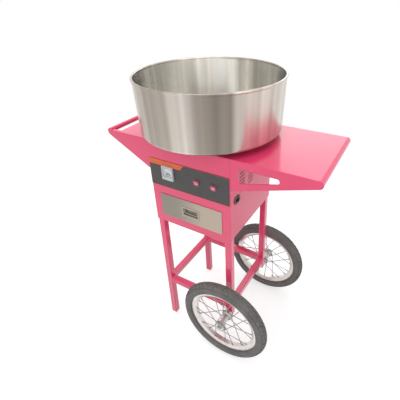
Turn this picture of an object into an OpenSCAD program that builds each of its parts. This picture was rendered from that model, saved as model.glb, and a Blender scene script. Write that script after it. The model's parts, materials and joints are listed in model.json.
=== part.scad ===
// Mobile cotton candy cart: a sheet metal machine body with two wings on a square tube frame,
// two laced spoke wheels, a lift-off bowl round a spinner head, a control panel and a drawer.
// Millimetres. X runs along the cart to the shelf and wheel end, Y to the back, Z up from the floor.
// The origin is on the floor under the middle of the bounding box.

/* [Body] */
// Width of the machine body beside the drawer's face, on each side
cheek_w = 33; // [30:1:40]
// Depth of the machine body from front to back
body_d = 318; // [306:1:330]
// Height of the worktop above the floor
deck_h = 864; // [840:1:890]
// Height of the side and rear panels below the worktop
side_drop = 315; // [311:1:321]
// Height of the front panel below the worktop
front_drop = 330; // [324:1:340]
// Thickness of the sheet metal
sheet = 2; // [1.5:0.1:2.4]

/* [Wings] */
// Length of the shelf wing, to the outside of its rolled end
shelf_l = 278; // [250:1:300]
// Length of the grip wing, to the tips of its skirts
grip_l = 182; // [170:1:200]
// Depth of the wing skirts at the body
wing_drop = 112; // [100:1:120]
// Radius of the shelf's rolled end
roll_r = 13; // [11:0.5:16]
// Depth of the grip wing's skirts at the tip
tip_drop = 17; // [15:1:22]
// Diameter of the push handle
grip_d = 18; // [16:1:22]
// Finger room between the push handle and the worktop
grip_gap = 36; // [28:1:40]

/* [Frame] */
// Side of the square frame tube
tube = 25; // [20:1:28]
// Wall of the frame tube
tube_wall = 2; // [1.5:0.1:2.5]
// Height of the underside of the lower rails
rail_z = 199; // [192:1:215]
// Height of the foot caps on the legs
foot_h = 10; // [8:1:14]
// Slanted edge round the bottom of a foot cap
foot_cut = 4; // [2:0.5:5]

/* [Wheels] */
// Outside diameter of the tyres
wheel_d = 356; // [346:1:364]
// Diameter of the tyre's section
tyre_w = 46; // [42:1:50]
// Outside diameter of the rims
rim_d = 284; // [276:1:288]
// Width of the rims
rim_w = 27; // [25:0.5:29]
// Distance of the wheels' middle planes from the body's front and rear faces
wheel_out = 38; // [36:1:44]
// Number of spokes in a wheel, a multiple of four
spoke_n = 20; // [16:4:24]
// Diameter of a spoke
spoke_d = 2.8; // [2:0.1:2.9]
// Width of the hub over its end faces
hub_w = 68; // [62:1:72]
// Diameter of the stub axles
axle_d = 12; // [10:0.5:13]

/* [Bowl] */
// Diameter over the bowl's rolled rim
bowl_d = 500; // [490:1:530]
// How far the bowl's wall leans out from the floor to the rim
bowl_flare = 6; // [4:1:18]
// Height of the bowl
bowl_h = 185; // [170:1:200]
// Height of the bowl's floor above the worktop
bowl_lift = 19; // [17:1:24]
// Thickness of the bowl's sheet
bowl_sheet = 1.5; // [1.2:0.1:2]
// Diameter of the hole in the bowl's floor
bowl_hole = 160; // [152:1:170]

/* [Spinner] */
// Diameter of the spinner head
head_d = 128; // [118:1:134]
// Diameter of the drive shaft
shaft_d = 12; // [10:0.5:14]
// Diameter of the motor
motor_d = 90; // [80:1:94]
// Height of the motor
motor_h = 96; // [80:1:104]
// Outside diameter of the slip rings
slip_d = 36; // [32:1:40]

/* [Drawer] */
// Width of the drawer's face
drawer_w = 254; // [250:1:258]
// Height of the drawer's face
drawer_h = 93; // [91:1:95]
// Depth of the drawer's upper edge below the worktop
drawer_top = 204; // [202:1:206]
// Length of the drawer's tray
tray_l = 270; // [240:1:272]
// Width of the pull's plate
pull_w = 73; // [66:1:80]
// Height of the pull's plate
pull_h = 40; // [38:1:42]

/* [Controls] */
// Depth of the control panel's upper edge below the worktop
panel_top = 67.5; // [62:0.5:70]
// Height of the control panel
panel_h = 103.5; // [98:0.5:108]
// Width of the meter
meter_w = 46; // [44:1:52]
// Height of the meter
meter_h = 52; // [50:1:54]
// Diameter of a switch's bezel
switch_d = 26; // [23:0.5:28]

/* [Fits] */
// Radial clearance of a shaft that turns in a hole
run_fit = 0.05; // [0.02:0.01:0.1]
// Radial clearance of a bolt or fixed barrel in its hole
hole_fit = 0.2; // [0.1:0.05:0.3]
// Gap between sliding sheet faces
slide_gap = 0.5; // [0.3:0.1:0.8]
// Diameter of the small bolts
bolt_d = 5; // [4:0.5:6]

/* [Hidden] */
$fn = 64;
eps = 0.01;
over = 1;

pink = [0.88, 0.35, 0.48];
steel = [0.78, 0.76, 0.73];
bright = [0.85, 0.85, 0.84];
dark = [0.33, 0.33, 0.32];
black = [0.12, 0.12, 0.12];
red = [0.8, 0.12, 0.1];
brass = [0.8, 0.65, 0.3];
clear = [0.85, 0.9, 0.92, 0.4];
pale = [0.74, 0.75, 0.76];

// Body box and frame centres
body_w = drawer_w + 2 * cheek_w;
total_l = grip_l + body_w + shelf_l;
xl = grip_l - total_l / 2;
xr = xl + body_w;
yf = -body_d / 2;
yb = body_d / 2;
cx = (xl + xr) / 2;
zd = deck_h;
zu = zd - sheet;
zs = zd - side_drop;
zf = zd - front_drop;
in_y = yb - sheet;
leg_x = xl + sheet + tube / 2;
post_x = xr - sheet - tube / 2;
leg_y = in_y - tube / 2;
inner_l = leg_x + tube / 2;
inner_r = post_x - tube / 2;

// Wings
roll_x = xr + shelf_l - roll_r;
tip_x = xl - grip_l;
grip_x = tip_x + 2 + grip_d / 2;
grip_z = zd - 3;
ledge_x = grip_x + grip_d / 2 + grip_gap;
flange_h = 24;
flange_w = 12;
wing_bolt_z = zu - flange_h / 2;
wing_bolt_y = body_d / 2 - 60;

// Wheels, in a wheel frame whose Z axis points outward along the axle
axle_z = wheel_d / 2;
wheel_y = yb + wheel_out;
face_z = in_y - wheel_y;
inner_z = face_z - tube;
flange_z = hub_w / 2 - 8;
flange_r = 23;
flange_t = 3;
lace_r = 19.8;
lace_out = 2.8;
lace_in = 0.3;
rim_r = rim_d / 2;
rim_base = rim_r - 19;
nipple_d = 4.6;
bear_d = 28;
bear_w = 8;
boss_r = bear_d / 2 + 3;
barrel_r = 12;
post_end = axle_z - 14;

// Bowl
base_z = zd + bowl_lift;
rim_top = base_z + bowl_h;
bead_r = 4;
bowl_top_r = bowl_d / 2 - bead_r;
bowl_low_r = bowl_top_r - bowl_flare;
corner_r = 12;
seat_r = 115;
deck_hole = 64;

// Spinner
brk_z = zd - 78;
brk_w = 100;
brk_t = 3;
brk_d = 90;
brk_flange = 22;
shaft_in = 40;
motor_slot = 32;
head_z = base_z + 10;
head_r = head_d / 2;
screen_r = head_r - 4;
cap_z = head_z + 45;
slip_z = brk_z + brk_t + 8;
slip_h = 34;
heat_r = screen_r - 7;
heat_z = 16;
heat_h = 24;
arm_r = head_r - 22;
arm_t = 5;
ring_h = 9;
core_r = slip_d / 2 - 4;
seat_lip = bowl_hole / 2 - 0.4;
seat_in = seat_lip - 4;

// Drawer
face_t = 1.5;
face_y = yf - slide_gap - face_t;
face_z1 = zd - drawer_top;
face_z0 = face_z1 - drawer_h;
lap = 7;
open_w = drawer_w - 2 * lap;
open_z0 = face_z0 + lap;
open_z1 = face_z1 - lap;
tray_t = 1.5;
tray_flange = 8;
tray_w = open_w - 2 * tray_flange - 4;
tray_z0 = open_z0 + 4;
tray_z1 = open_z1 - 12;
pull_z = face_z0 + 44;
cup_w = pull_w - 10;
cup_h = pull_h - 10;
cup_d = 12;
cup_t = 1;
bail_d = 5;
bail_pin = 3;
bail_w = cup_w - 2 * cup_t - 2;
bail_z = pull_z + cup_h / 2 - 6;
bail_y = face_y + 3.2;
bail_drop = cup_h - 14;

// Controls
plate_t = 1.5;
plate_y = yf - plate_t;
plate_z1 = zd - panel_top;
meter_x = xl + 78.5;
meter_z = zd - 111;
meter_t = 7;
meter_y = plate_y - meter_t;
barrel_d = 38;
dial_y = meter_y + 5.5;
needle_z = meter_z - 10;
needle_l = 24;
needle_pin = 1.6;
needle_rest = 45;
switch_z = zd - 117.5;
switch_x1 = xr - 127;
switch_x2 = xr - 61.3;
switch_in = switch_d - 2.4;
switch_bore = switch_d - 5;
rocker_tilt = 10;
rocker_pin = 3;
rocker_l = switch_bore + 1.4;
rocker_y = plate_y + 2;
inlet_z = zd - 168;
inlet_w = 36;
inlet_h = 26;
inlet_body = [inlet_w / 2 - 4.5, inlet_h / 2 - 3];
inlet_y = yf + sheet + tube + inlet_body[0] + 1.5;

// A straight bar of round section between two points
module rod(a, b, d) {
  v = b - a;
  h = norm(v);
  translate(a)
    rotate([0, acos(v[2] / h), atan2(v[1], v[0])])
      cylinder(d = d, h = h, $fn = 16);
}

module box(a, b) {
  translate(a)
    cube(b - a);
}

// A bar of round section along Y or X, centred on a point
module along_y(p, d, h) {
  translate(p)
    rotate([90, 0, 0])
      cylinder(d = d, h = h, center = true);
}

module along_x(p, d, h) {
  translate(p)
    rotate([0, 90, 0])
      cylinder(d = d, h = h, center = true);
}

// Square tube standing at a point between two heights
module tube_z(x, y, z0, z1) {
  bore = tube - 2 * tube_wall;
  difference() {
    box([x - tube / 2, y - tube / 2, z0], [x + tube / 2, y + tube / 2, z1]);
    box([x - bore / 2, y - bore / 2, z0 - over], [x + bore / 2, y + bore / 2, z1 + over]);
  }
}

module tube_x(y, z) {
  bore = tube - 2 * tube_wall;
  difference() {
    box([inner_l, y - tube / 2, z], [inner_r, y + tube / 2, z + tube]);
    box([inner_l - over, y - bore / 2, z + tube_wall], [inner_r + over, y + bore / 2, z + tube - tube_wall]);
  }
}

module tube_y(x, z) {
  bore = tube - 2 * tube_wall;
  y1 = leg_y - tube / 2;
  difference() {
    box([x - tube / 2, -y1, z], [x + tube / 2, y1, z + tube]);
    box([x - bore / 2, -y1 - over, z + tube_wall], [x + bore / 2, y1 + over, z + tube - tube_wall]);
  }
}

// Frame
plug_l = 20;

module leg_front_left() color(pink) tube_z(leg_x, -leg_y, foot_h, zu);
module leg_rear_left() color(pink) tube_z(leg_x, leg_y, foot_h, zu);

module post(side) {
  difference() {
    tube_z(post_x, side * leg_y, post_end, zu);
    along_y([post_x, side * leg_y, axle_z], axle_d + 2 * hole_fit, tube + 2 * over);
  }
}

module post_front_right() color(pink) post(-1);
module post_rear_right() color(pink) post(1);
module lower_rail_front() color(pink) tube_x(-leg_y, rail_z);
module lower_rail_rear() color(pink) tube_x(leg_y, rail_z);
module lower_rail_left() color(pink) tube_y(leg_x, rail_z);
module lower_rail_right() color(pink) tube_y(post_x, rail_z);
module upper_rail_front() color(pink) tube_x(-leg_y, zs);
module upper_rail_rear() color(pink) tube_x(leg_y, zs);

// Side view of a foot cap, slanted in towards the floor
module foot_outline() {
  polygon([[foot_cut - tube / 2, 0], [tube / 2 - foot_cut, 0], [tube / 2, foot_cut], [tube / 2, foot_h],
    [-tube / 2, foot_h], [-tube / 2, foot_cut]]);
}

module leg_feet() color(pink)
  for (side = [-1, 1]) {
    plug = tube - 2 * tube_wall - 2 * hole_fit;
    translate([leg_x, side * leg_y, 0])
      intersection() {
        translate([0, tube / 2, 0])
          rotate([90, 0, 0])
            linear_extrude(tube)
              foot_outline();
        translate([-tube / 2, 0, 0])
          rotate([90, 0, 90])
            linear_extrude(tube)
              foot_outline();
      }
    box([leg_x - plug / 2, side * leg_y - plug / 2, foot_h - over],
      [leg_x + plug / 2, side * leg_y + plug / 2, foot_h + plug_l]);
  }

// Body panels
module front_panel() color(pink)
  difference() {
    union() {
      box([xl, yf, zf], [xr, yf + sheet, zu]);
      box([inner_l, yf, zf], [inner_r, yf + 14, zf + sheet]);
    }
    box([cx - open_w / 2, yf - over, open_z0], [cx + open_w / 2, yf + sheet + over, open_z1]);
    along_y([meter_x, yf, meter_z], barrel_d + 2 * hole_fit, 20);
    for (x = [switch_x1, switch_x2])
      along_y([x, yf, switch_z], switch_in + 2 * hole_fit, 20);
  }

module side_sheet(x) {
  box([x, yf + sheet, zs], [x + sheet, yb - sheet, zu]);
}

module wing_holes(x) {
  for (y = [-wing_bolt_y, 0, wing_bolt_y])
    along_x([x, y, wing_bolt_z], bolt_d + 2 * hole_fit, 10);
}

module left_side_panel() color(pink)
  difference() {
    side_sheet(xl);
    wing_holes(xl);
  }

module right_side_panel() color(pink)
  difference() {
    side_sheet(xr - sheet);
    wing_holes(xr);
    box([xr - 5, inlet_y - inlet_body[0] - slide_gap, inlet_z - inlet_body[1] - slide_gap],
      [xr + over, inlet_y + inlet_body[0] + slide_gap, inlet_z + inlet_body[1] + slide_gap]);
    for (y = [yf + 62, yf + 124], k = [0:5])
      box([xr - 5, y, zd - 86 - 13 * k], [xr + over, y + 36, zd - 82 - 13 * k]);
  }

module screw_spots() {
  for (x = [leg_x, post_x], z = [zs + 60, zs + 155, zu - 60])
    translate([x, yb, z])
      children();
}

module rear_panel() color(pink)
  difference() {
    box([xl, yb - sheet, zs], [xr, yb, zu]);
    screw_spots()
      along_y([0, 0, 0], bolt_d + 2 * hole_fit, 10);
  }

// Round head screws that hold the rear panel to the legs, each head and shank one solid
module panel_screws() color(steel)
  screw_spots()
    rotate([-90, 0, 0]) {
      difference() {
        cylinder(d1 = 2 * bolt_d, d2 = 1.2 * bolt_d, h = 2.6, $fn = 32);
        translate([-4, -0.6, 1.6])
          cube([8, 1.2, 3]);
      }
      translate([0, 0, -sheet])
        cylinder(d = bolt_d, h = sheet + 0.2, $fn = 32);
    }

module floor_panel() color(pink)
  difference() {
    box([xl + sheet, yf + sheet, zs + tube], [xr - sheet, yb - sheet, zs + tube + sheet]);
    for (x = [leg_x, post_x], side = [-1, 1])
      translate([x, side * leg_y, zs + tube])
        cube([tube, tube, 20], center = true);
  }

module bracket_spots() {
  for (x = [-1, 1], y = [-1, 1])
    translate([cx + x * (brk_w / 2 + brk_t + brk_flange / 2), y * (brk_d / 2 - 20), 0])
      children();
}

module motor_spots() {
  for (a = [45:90:315])
    translate([cx, 0, 0])
      rotate([0, 0, a])
        translate([motor_d / 2 - 10, 0, 0])
          children();
}

module deck_plate() color(pink)
  difference() {
    box([xl, yf, zu], [xr, yb, zd]);
    translate([cx, 0, zu - over])
      cylinder(d = deck_hole, h = sheet + 2 * over);
    bracket_spots()
      translate([0, 0, zu - over])
        cylinder(d = bolt_d + 2 * hole_fit, h = sheet + 2 * over, $fn = 32);
  }

// Wings. An outline drawn in X and Z is turned into a skirt of one sheet thickness.
module skirt(y) {
  translate([0, y + sheet, 0])
    rotate([90, 0, 0])
      linear_extrude(sheet)
        children();
}

// Outline grown by r round a row of points that runs counter-clockwise, with round corners
function grown(c, r) = [for (i = [0:len(c) - 1])
  let (a = c[i], b = c[(i + 1) % len(c)], d = (b - a) / norm(b - a), n = [d[1], -d[0]])
  each [a + r * n, b + r * n]];

module round_outline(c, r) {
  polygon(grown(c, r));
  for (p = c)
    translate(p)
      circle(r);
}

module shelf_outline() {
  q = [roll_x, zd - roll_r];
  p = [xr, zd - wing_drop];
  d = q - p;
  t = atan2(d[1], d[0]) - asin(roll_r / norm(d));
  polygon([p, q + roll_r * [sin(t), -cos(t)], q, [roll_x, zd], [xr, zd]]);
  translate(q)
    circle(roll_r);
}

// Tapered hand slot in the shelf's skirts
module slot_outline() {
  r = 8;
  rise = (wing_drop - 2 * roll_r) / shelf_l;
  x0 = xr + 27 + r;
  x1 = xr + 157 - r;
  top = zd - 27 - r;
  low = zd - wing_drop + 26 + r;
  low0 = low + rise * (x0 - xr);
  low1 = min(top - 1, low + rise * (x1 - xr));
  round_outline([[x0, low0], [x1, low1], [x1, top], [x0, top]], r);
}

module wing_flange(x) {
  difference() {
    box([x, yf + sheet - eps, zu - flange_h], [x + sheet, yb - sheet + eps, zu + eps]);
    wing_holes(x + sheet / 2);
  }
}

module right_wing() color(pink) {
  box([xr, yf, zu], [roll_x, yb, zd]);
  wing_flange(xr);
  for (y = [yf, yb - sheet])
    skirt(y)
      difference() {
        shelf_outline();
        slot_outline();
      }
  translate([roll_x, yb, zd - roll_r])
    rotate([90, 0, 0])
      linear_extrude(body_d)
        difference() {
          circle(roll_r);
          circle(roll_r - sheet);
          translate([-2 * roll_r, -2 * roll_r])
            square([2 * roll_r, 4 * roll_r]);
        }
}

// Skirt of the grip wing, with a round ear at its tip that closes the handle's end
module grip_outline() {
  polygon([[xl, zd], [tip_x, zd], [tip_x, zd - tip_drop + 7], [tip_x + 2, zd - tip_drop + 2.5],
    [tip_x + 6, zd - tip_drop - 1.5], [xl - 20, zd - wing_drop + 9], [xl - 10, zd - wing_drop + 3],
    [xl, zd - wing_drop]]);
  translate([grip_x, grip_z])
    circle(d = grip_d);
}

module left_wing() color(pink) {
  box([ledge_x, yf, zu], [xl, yb, zd]);
  for (y = [yf, yb - flange_w])
    box([grip_x + grip_d / 2 + slide_gap, y, zu], [ledge_x + eps, y + flange_w, zd]);
  wing_flange(xl - sheet);
  for (y = [yf, yb - sheet])
    skirt(y)
      grip_outline();
}

module push_handle() color(pink)
  difference() {
    along_y([grip_x, 0, grip_z], grip_d, 2 * in_y);
    along_y([grip_x, 0, grip_z], grip_d - 3, 2 * in_y + 2);
  }

// Control panel with the meter and the two rocker switches
module control_panel() color(dark)
  difference() {
    box([xl, plate_y, plate_z1 - panel_h], [xr - 3, yf, plate_z1]);
    along_y([meter_x, yf, meter_z], barrel_d + 2 * hole_fit, 20);
    for (x = [switch_x1, switch_x2])
      along_y([x, yf, switch_z], switch_in + 2 * hole_fit, 20);
  }

module meter_case() color(pale)
  difference() {
    union() {
      box([meter_x - meter_w / 2, meter_y, meter_z - meter_h / 2],
        [meter_x + meter_w / 2, plate_y, meter_z + meter_h / 2]);
      along_y([meter_x, plate_y + 16, meter_z], barrel_d, 34);
    }
    box([meter_x - meter_w / 2 + 3, meter_y - over, meter_z - 13],
      [meter_x + meter_w / 2 - 3, dial_y, meter_z + meter_h / 2 - 3]);
    along_y([meter_x, dial_y, needle_z], needle_pin + 2 * run_fit, 8);
  }

module meter_window() color(clear)
  box([meter_x - meter_w / 2 + 3, meter_y, meter_z - 13],
    [meter_x + meter_w / 2 - 3, meter_y + 1.5, meter_z + meter_h / 2 - 3]);

module meter_needle() color(black) {
  along_y([meter_x, dial_y, needle_z], needle_pin, 7);
  along_y([meter_x, dial_y - 2.2, needle_z], 5, 1.6);
  translate([meter_x, dial_y - 2.2, needle_z])
    rotate([0, -needle_rest, 0])
      box([-0.5, -0.4, 0], [0.5, 0.4, needle_l]);
}

module switch_housing(x) {
  difference() {
    union() {
      along_y([x, plate_y - 1.25, switch_z], switch_d, 2.5);
      along_y([x, plate_y + 9, switch_z], switch_in, 20);
    }
    along_y([x, plate_y + 2, switch_z], switch_bore, 22);
    along_x([x, rocker_y, switch_z], rocker_pin + 2 * run_fit, rocker_l + 0.8);
  }
}

module switch_housings() color(black)
  for (x = [switch_x1, switch_x2])
    switch_housing(x);

module rocker(x) {
  z1 = switch_bore / 2 - 1.9;
  along_x([x, rocker_y, switch_z], rocker_pin, rocker_l);
  translate([x, rocker_y, switch_z])
    rotate([rocker_tilt, 0, 0])
      intersection() {
        rotate([90, 0, 0])
          cylinder(r = switch_bore / 2 - 1, h = 20, center = true);
        translate([-switch_bore / 2 + 1.6, 0, 0])
          rotate([90, 0, 90])
            linear_extrude(switch_bore - 3.2)
              polygon([[-4.6, 0], [-6, z1], [1, z1], [3, 3], [3, -3], [1, -z1], [-6, -z1]]);
      }
}

module power_rocker() color(red) rocker(switch_x1);
module heat_rocker() color(red) rocker(switch_x2);

// Power inlet in the right side panel, with its three pins
module power_inlet() color(black) {
  difference() {
    union() {
      translate([xr, inlet_y, inlet_z])
        rotate([90, 0, 90])
          linear_extrude(3)
            polygon([for (p = [[1, 0.4], [0.72, 1], [-0.72, 1], [-1, 0.4], [-1, -0.4], [-0.72, -1], [0.72, -1],
              [1, -0.4]]) [p[0] * inlet_w / 2, p[1] * inlet_h / 2]]);
      box([xr - 22, inlet_y - inlet_body[0], inlet_z - inlet_body[1]],
        [xr + over, inlet_y + inlet_body[0], inlet_z + inlet_body[1]]);
    }
    box([xr - 16, inlet_y - inlet_body[0] + 2, inlet_z - inlet_body[1] + 2],
      [xr + 4, inlet_y + inlet_body[0] - 2, inlet_z + inlet_body[1] - 2]);
  }
  for (p = [[-7, -2], [0, 3], [7, -2]])
    box([xr - 17, inlet_y + p[0] - 1, inlet_z + p[1] - 2], [xr - 3, inlet_y + p[0] + 1, inlet_z + p[1] + 2]);
}

// Motor and its bracket, hung under the worktop
module motor() color(dark)
  difference() {
    translate([cx, 0, brk_z - motor_h])
      rotate_extrude()
        polygon([[0, 0], [motor_d / 2 - 14, 0], [motor_d / 2 - 6, 8], [motor_d / 2, 12],
          [motor_d / 2, motor_h - 10], [motor_d / 2 - 3, motor_h - 6], [motor_d / 2 - 3, motor_h],
          [0, motor_h]]);
    translate([cx, 0, brk_z - shaft_in - 2])
      cylinder(d = shaft_d + 2 * run_fit, h = shaft_in + 8);
    motor_spots()
      translate([0, 0, brk_z - 14])
        cylinder(d = bolt_d + 2 * hole_fit, h = 20, $fn = 32);
    for (a = [0:30:330])
      translate([cx, 0, brk_z - motor_h / 2])
        rotate([0, 0, a + 15])
          box([motor_d / 2 - 3, -3, -motor_slot / 2], [motor_d / 2 + 5, 3, motor_slot / 2]);
  }

module motor_bracket() color(steel)
  difference() {
    union() {
      box([cx - brk_w / 2 - brk_t, -brk_d / 2, brk_z], [cx + brk_w / 2 + brk_t, brk_d / 2, brk_z + brk_t]);
      for (s = [-1, 1]) {
        x = cx + s * (brk_w + brk_t) / 2;
        f = cx + s * (brk_w / 2 + brk_t + brk_flange / 2);
        box([x - brk_t / 2, -brk_d / 2, brk_z], [x + brk_t / 2, brk_d / 2, zu]);
        box([f - brk_flange / 2 - eps, -brk_d / 2, zu - brk_t], [f + brk_flange / 2 + eps, brk_d / 2, zu]);
      }
    }
    translate([cx, 0, brk_z - over])
      cylinder(d = shaft_d + 12, h = brk_t + 2 * over);
    motor_spots()
      translate([0, 0, brk_z - over])
        cylinder(d = bolt_d + 2 * hole_fit, h = brk_t + 2 * over, $fn = 32);
    bracket_spots()
      translate([0, 0, zu - brk_t - over])
        cylinder(d = bolt_d + 2 * hole_fit, h = brk_t + 2 * over, $fn = 32);
  }

ring_z = [slip_z + 5, slip_z + 20];
brush_x = cx + slip_d / 2 + 0.4;

module brush_holder() color([0.35, 0.2, 0.12])
  difference() {
    box([brush_x + 5, -9, brk_z + brk_t], [brush_x + 21, 9, slip_z + slip_h]);
    for (z = ring_z)
      box([brush_x, -3 - hole_fit, z + ring_h / 2 - 3 - hole_fit],
        [brush_x + 19, 3 + hole_fit, z + ring_h / 2 + 3 + hole_fit]);
  }

// Carbon brushes, seated at the bottom of their pockets
module brushes() color(black)
  for (z = ring_z)
    box([brush_x, -3, z + ring_h / 2 - 3], [brush_x + 19, 3, z + ring_h / 2 + 3]);

// Hex bolt with its head on the plane it stands on, its shank downward and a nut below the grip
module bolt(grip, nut) {
  cylinder(d = 1.75 * bolt_d, h = 0.7 * bolt_d, $fn = 6);
  translate([0, 0, -grip - bolt_d - 1])
    cylinder(d = bolt_d, h = grip + bolt_d + 1 + eps, $fn = 32);
  if (nut)
    translate([0, 0, -grip - 0.8 * bolt_d])
      cylinder(d = 1.75 * bolt_d, h = 0.8 * bolt_d, $fn = 6);
}

module bolts() color(steel) {
  bracket_spots()
    translate([0, 0, zd])
      bolt(sheet + brk_t, true);
  motor_spots()
    translate([0, 0, brk_z + brk_t])
      bolt(brk_t, false);
  for (y = [-wing_bolt_y, 0, wing_bolt_y]) {
    translate([xr + sheet, y, wing_bolt_z])
      rotate([0, 90, 0])
        bolt(2 * sheet, true);
    translate([xl - sheet, y, wing_bolt_z])
      rotate([0, -90, 0])
        bolt(2 * sheet, true);
  }
}

// Drawer
module drawer_runners() color(steel)
  for (s = [-1, 1])
    translate([cx, 0, 0])
      mirror([s < 0 ? 1 : 0, 0, 0]) {
        w = inner_r - cx;
        box([tray_w / 2 + 1, -leg_y - tube / 2, tray_z1 - tray_t - slide_gap - 1.5],
          [w, leg_y + tube / 2, tray_z1 - tray_t - slide_gap]);
        box([w - 1.5, -leg_y - tube / 2, tray_z1 - 20], [w, leg_y + tube / 2, tray_z1 + 12]);
      }

module drawer_front() color(steel)
  difference() {
    box([cx - drawer_w / 2, face_y, face_z0], [cx + drawer_w / 2, face_y + face_t, face_z1]);
    box([cx - cup_w / 2, face_y - over, pull_z - cup_h / 2],
      [cx + cup_w / 2, face_y + face_t + over, pull_z + cup_h / 2]);
  }

module drawer_tray() color(steel) {
  y0 = face_y + face_t;
  difference() {
    union() {
      box([cx - tray_w / 2, y0, tray_z0], [cx + tray_w / 2, y0 + tray_l, tray_z1]);
      box([cx - tray_w / 2 - tray_flange, y0, tray_z1 - tray_t],
        [cx + tray_w / 2 + tray_flange, y0 + tray_l, tray_z1]);
    }
    box([cx - tray_w / 2 + tray_t, y0 - over, tray_z0 + tray_t],
      [cx + tray_w / 2 - tray_t, y0 + tray_l - tray_t, tray_z1 + over]);
  }
}

// Pull: a dished plate let into the drawer's face, with a hanging bail
module pull_plate() color(bright)
  difference() {
    union() {
      box([cx - pull_w / 2, face_y - cup_t, pull_z - pull_h / 2],
        [cx + pull_w / 2, face_y, pull_z + pull_h / 2]);
      box([cx - cup_w / 2, face_y - cup_t, pull_z - cup_h / 2],
        [cx + cup_w / 2, face_y + cup_d, pull_z + cup_h / 2]);
    }
    box([cx - cup_w / 2 + cup_t, face_y - 2 * cup_t, pull_z - cup_h / 2 + cup_t],
      [cx + cup_w / 2 - cup_t, face_y + cup_d - cup_t, pull_z + cup_h / 2 - cup_t]);
    along_x([cx, bail_y, bail_z], bail_pin + 2 * run_fit, cup_w + 2);
  }

module pull_bail() color(bright) {
  for (s = [-1, 1]) {
    x = cx + s * (bail_w - bail_d) / 2;
    along_x([cx + s * (cup_w / 2 - 2.2), bail_y, bail_z], bail_pin, 4.4);
    translate([x, bail_y, bail_z - bail_drop])
      cylinder(d = bail_d, h = bail_drop, $fn = 32);
    translate([x, bail_y, bail_z])
      sphere(d = bail_d, $fn = 32);
    translate([x, bail_y, bail_z - bail_drop])
      sphere(d = bail_d, $fn = 32);
  }
  along_x([cx, bail_y, bail_z - bail_drop], bail_d, bail_w - bail_d);
}

// Bowl and the ring that it stands on
module bowl_seat() color(black)
  translate([cx, 0, zd])
    rotate_extrude($fn = 96)
      polygon([[seat_in, 0], [seat_r, 0], [seat_r, bowl_lift], [seat_lip, bowl_lift], [seat_lip, bowl_lift + 4],
        [seat_in, bowl_lift + 4]]);

// Points of an arc about a centre
function arc(c, r, a0, a1, n) = [for (i = [0:n])
  let (a = a0 + (a1 - a0) * i / n) c + r * [cos(a), sin(a)]];

// The bowl is spun from one sheet: flat floor, rounded corner, flared wall and a rolled rim
module bowl() color(steel) {
  knee = [bowl_low_r - corner_r, corner_r];
  translate([cx, 0, base_z])
    rotate_extrude($fn = 128)
      polygon(concat([[bowl_hole / 2, 0]], arc(knee, corner_r, -90, 0, 8),
        arc([bowl_top_r, bowl_h - bead_r], bead_r, -85, 248, 16),
        arc(knee, corner_r - bowl_sheet, 0, -90, 8), [[bowl_hole / 2, bowl_sheet]]));
}

// Spinner: shaft with its slip rings, and the head of pan, heater, screen and cap
module drive_shaft() color(steel)
  translate([cx, 0, 0]) {
    translate([0, 0, brk_z - shaft_in])
      cylinder(d = shaft_d, h = head_z - brk_z + shaft_in);
    translate([0, 0, slip_z])
      cylinder(r = core_r, h = slip_h);
    translate([0, 0, head_z - 5])
      cylinder(r = 22, h = 5);
  }

module slip_rings() color(brass)
  for (z = ring_z)
    translate([cx, 0, z])
      difference() {
        cylinder(d = slip_d, h = ring_h);
        translate([0, 0, -over])
          cylinder(r = core_r, h = ring_h + 2 * over);
      }

module spinner_pan() color(bright)
  translate([cx, 0, head_z])
    rotate_extrude($fn = 96)
      polygon([[0, 0], [head_r - 16, 0], [head_r, 8], [head_r, 13], [head_r - 2.4, 13], [head_r - 2.4, 10],
        [head_r - 9, 10], [head_r - 17, 3], [0, 3]]);

module heater() color(brass)
  translate([cx, 0, head_z]) {
    difference() {
      translate([0, 0, heat_z])
        cylinder(r = heat_r, h = heat_h);
      translate([0, 0, heat_z - over])
        cylinder(r = heat_r - 2, h = heat_h + 2 * over);
    }
    for (a = [0:120:240])
      rotate([0, 0, a]) {
        box([arm_r, -3, 3], [arm_r + arm_t - 0.5, 3, heat_z + 2]);
        box([arm_r, -3, heat_z + 2 - arm_t], [heat_r - 1, 3, heat_z + 2]);
      }
  }

module spinner_screen() color(bright)
  translate([cx, 0, head_z + 10])
    difference() {
      cylinder(r = screen_r + 1, h = cap_z - head_z - 10, $fn = 96);
      translate([0, 0, -over])
        cylinder(r = screen_r - 0.5, h = cap_z - head_z + 2, $fn = 96);
      for (a = [0:10:350])
        rotate([0, 0, a])
          box([screen_r - 4, -2.6, 6], [screen_r + 4, 2.6, cap_z - head_z - 15]);
    }

module spinner_cap() color(bright)
  translate([cx, 0, cap_z])
    rotate_extrude($fn = 96)
      polygon([[30, 0], [head_r - 2.4, 0], [head_r - 2.4, -3], [head_r, -3], [head_r, 1], [head_r - 5, 3],
        [33, 3], [33, 9], [30, 9]]);

// Wheels. Everything turns about Z of the wheel frame and then lies on the axle.
module at_wheel(side) {
  translate([post_x, side * wheel_y, axle_z])
    rotate([0, 0, side > 0 ? 0 : 180])
      rotate([-90, 0, 0])
        children();
}

module tyre() color(black) {
  r0 = wheel_d / 2 - tyre_w / 2;
  rotate_extrude($fn = 128)
    difference() {
      union() {
        intersection() {
          translate([r0, 0])
            circle(tyre_w / 2);
          translate([rim_r + 0.3, -tyre_w])
            square([tyre_w, 2 * tyre_w]);
        }
        translate([rim_r - 8, -rim_w / 2 + 2.1])
          square([9, rim_w - 4.2]);
      }
      translate([r0 + 3, 0])
        circle(tyre_w / 2 - 6);
      translate([rim_r - 12, -rim_w / 2 + 6.5])
        square([22, rim_w - 13]);
      for (z = [-7.5, 0, 7.5])
        translate([wheel_d / 2 - 2.2 - abs(z) * 0.19, z - 1.2])
          square([6, 2.4]);
    }
}

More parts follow.
